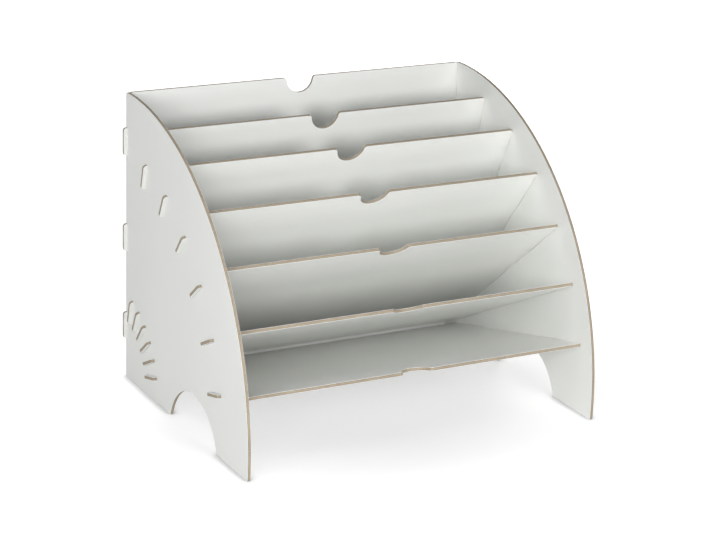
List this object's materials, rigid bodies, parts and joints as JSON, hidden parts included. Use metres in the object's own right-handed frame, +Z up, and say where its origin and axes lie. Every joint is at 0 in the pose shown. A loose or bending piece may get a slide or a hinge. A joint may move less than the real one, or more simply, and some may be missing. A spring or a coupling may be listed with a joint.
{
  "type": "desk document organizer",
  "caption": "Free-standing desk document organizer of white coated boards: quarter-round sides, a back panel and a fan of sloping dividers and shelves with finger notches.",
  "frame": {"origin": "on the surface that it stands on, under the middle of the width and depth", "axes": "+X to the right, -Y towards the user at the open front, +Z up"},
  "size_m": [0.3364, 0.254, 0.26],
  "materials": {
    "coated_board": "satin white coating on both faces, bare tan fibreboard at the cut edges"
  },
  "bodies": {
    "root": {"left_side_panel": "coated_board", "right_side_panel": "coated_board", "back_panel": "coated_board", "divider_1": "coated_board", "divider_2": "coated_board", "divider_3": "coated_board", "divider_4": "coated_board", "upper_shelf": "coated_board", "bottom_shelf": "coated_board"}
  },
  "joints": []
}
